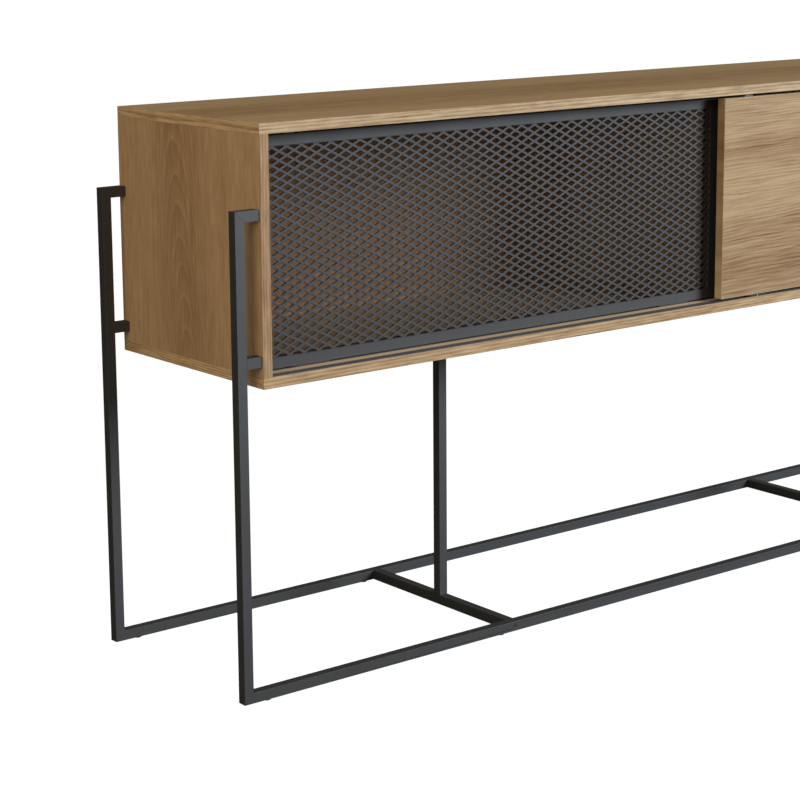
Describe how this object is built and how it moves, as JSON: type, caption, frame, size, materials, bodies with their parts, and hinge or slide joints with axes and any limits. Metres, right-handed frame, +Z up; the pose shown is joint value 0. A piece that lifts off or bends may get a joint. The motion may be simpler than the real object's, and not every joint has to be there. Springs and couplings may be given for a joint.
{
  "type": "tv stand with sliding doors",
  "caption": "Long low light-oak TV cabinet with an expanded-metal sliding door and a wood sliding door, lifted on a slim dark square-tube frame.",
  "frame": {"origin": "middle of the footprint, at floor level under the glides", "axes": "+X along the cabinet towards the wood door's end, +Y from the doors to the back, +Z up"},
  "size_m": [1.88, 0.36, 0.801],
  "materials": {
    "graphite_tube": "satin powder coat, dark graphite",
    "door_tube": "satin powder coat, dark graphite",
    "expanded_metal": "satin powder coat, dark graphite",
    "screw_steel": "zinc plated",
    "black_bolt": "blackened",
    "glide_plastic": "matt",
    "oak_long": "satin light oak laminate, grain along the cabinet",
    "oak_upright": "satin light oak laminate, upright grain",
    "oak_band_long": "satin light oak edging, grain along the edge",
    "oak_band_upright": "satin light oak edging, grain along the edge",
    "oak_door": "satin light oak laminate, grain along the door",
    "back_board": "smooth red-brown board",
    "beech": "raw",
    "track_metal": "dark anodised",
    "housing_plastic": "matt",
    "roller_nylon": "matt",
    "axle_steel": "ground",
    "guide_plastic": "matt grey"
  },
  "bodies": {
    "stand": {"front_left_leg": "graphite_tube", "back_left_leg": "graphite_tube", "front_right_leg": "graphite_tube", "back_right_leg": "graphite_tube", "front_rail": "graphite_tube", "back_rail": "graphite_tube", "upper_arms": "graphite_tube", "lower_arms": "graphite_tube", "left_crossbar": "graphite_tube", "right_crossbar": "graphite_tube", "left_post": "graphite_tube", "right_post": "graphite_tube", "post_plates": "graphite_tube", "plate_screws": "screw_steel", "arm_bolts": "screw_steel", "crossbar_bolts": "black_bolt", "glides": "glide_plastic", "top_panel": "oak_long", "bottom_panel": "oak_long", "left_side": "oak_upright", "right_side": "oak_upright", "divider": "oak_upright", "left_back_panel": "back_board", "right_back_panel": "back_board", "back_panel_pins": "screw_steel", "carcass_dowels": "beech", "top_front_band": "oak_band_long", "bottom_front_band": "oak_band_long", "left_side_band": "oak_band_upright", "right_side_band": "oak_band_upright", "divider_band": "oak_band_upright", "panel_end_bands": "oak_band_long", "front_lower_track": "track_metal", "rear_lower_track": "track_metal", "front_upper_track": "track_metal", "rear_upper_track": "track_metal"},
    "mesh_door": {"mesh_door_left_stile": "door_tube", "mesh_door_right_stile": "door_tube", "mesh_door_bottom_rail": "door_tube", "mesh_door_top_rail": "door_tube", "mesh_door_sheet": "expanded_metal", "mesh_door_axles": "axle_steel", "mesh_door_roller_housings": "housing_plastic", "mesh_door_housing_screws": "screw_steel", "mesh_door_top_guides": "guide_plastic"},
    "wood_door": {"wood_door_panel": "oak_door", "wood_door_long_bands": "oak_band_long", "wood_door_upright_bands": "oak_band_upright", "wood_door_axles": "axle_steel", "wood_door_roller_housings": "housing_plastic", "wood_door_housing_screws": "screw_steel", "wood_door_top_guides": "guide_plastic"},
    "mesh_left_roller": {"mesh_door_left_roller": "roller_nylon"},
    "mesh_right_roller": {"mesh_door_right_roller": "roller_nylon"},
    "wood_left_roller": {"wood_door_left_roller": "roller_nylon"},
    "wood_right_roller": {"wood_door_right_roller": "roller_nylon"}
  },
  "joints": [
    {"name": "mesh_door_slide", "type": "slide", "parent": "stand", "child": "mesh_door", "axis": [1, 0, 0], "range_m": [0, 0.876]},
    {"name": "wood_door_slide", "type": "slide", "parent": "stand", "child": "wood_door", "axis": [1, 0, 0], "range_m": [-0.877, 0]},
    {"name": "mesh_left_roller_spin", "type": "hinge", "parent": "mesh_door", "child": "mesh_left_roller", "pos_m": [-0.794, -0.139, 0.458], "axis": [0, 1, 0], "range_deg": [0, 7172]},
    {"name": "mesh_right_roller_spin", "type": "hinge", "parent": "mesh_door", "child": "mesh_right_roller", "pos_m": [-0.082, -0.139, 0.458], "axis": [0, 1, 0], "range_deg": [0, 7172]},
    {"name": "wood_left_roller_spin", "type": "hinge", "parent": "wood_door", "child": "wood_left_roller", "pos_m": [0.083, -0.1695, 0.458], "axis": [0, 1, 0], "range_deg": [-7180, 0]},
    {"name": "wood_right_roller_spin", "type": "hinge", "parent": "wood_door", "child": "wood_right_roller", "pos_m": [0.794, -0.1695, 0.458], "axis": [0, 1, 0], "range_deg": [-7180, 0]}
  ],
  "couplings": [
    {"joint": "mesh_left_roller_spin", "follows": "mesh_door_slide", "rad_per_m": 142.86},
    {"joint": "mesh_right_roller_spin", "follows": "mesh_door_slide", "rad_per_m": 142.86},
    {"joint": "wood_left_roller_spin", "follows": "wood_door_slide", "rad_per_m": 142.86},
    {"joint": "wood_right_roller_spin", "follows": "wood_door_slide", "rad_per_m": 142.86}
  ]
}
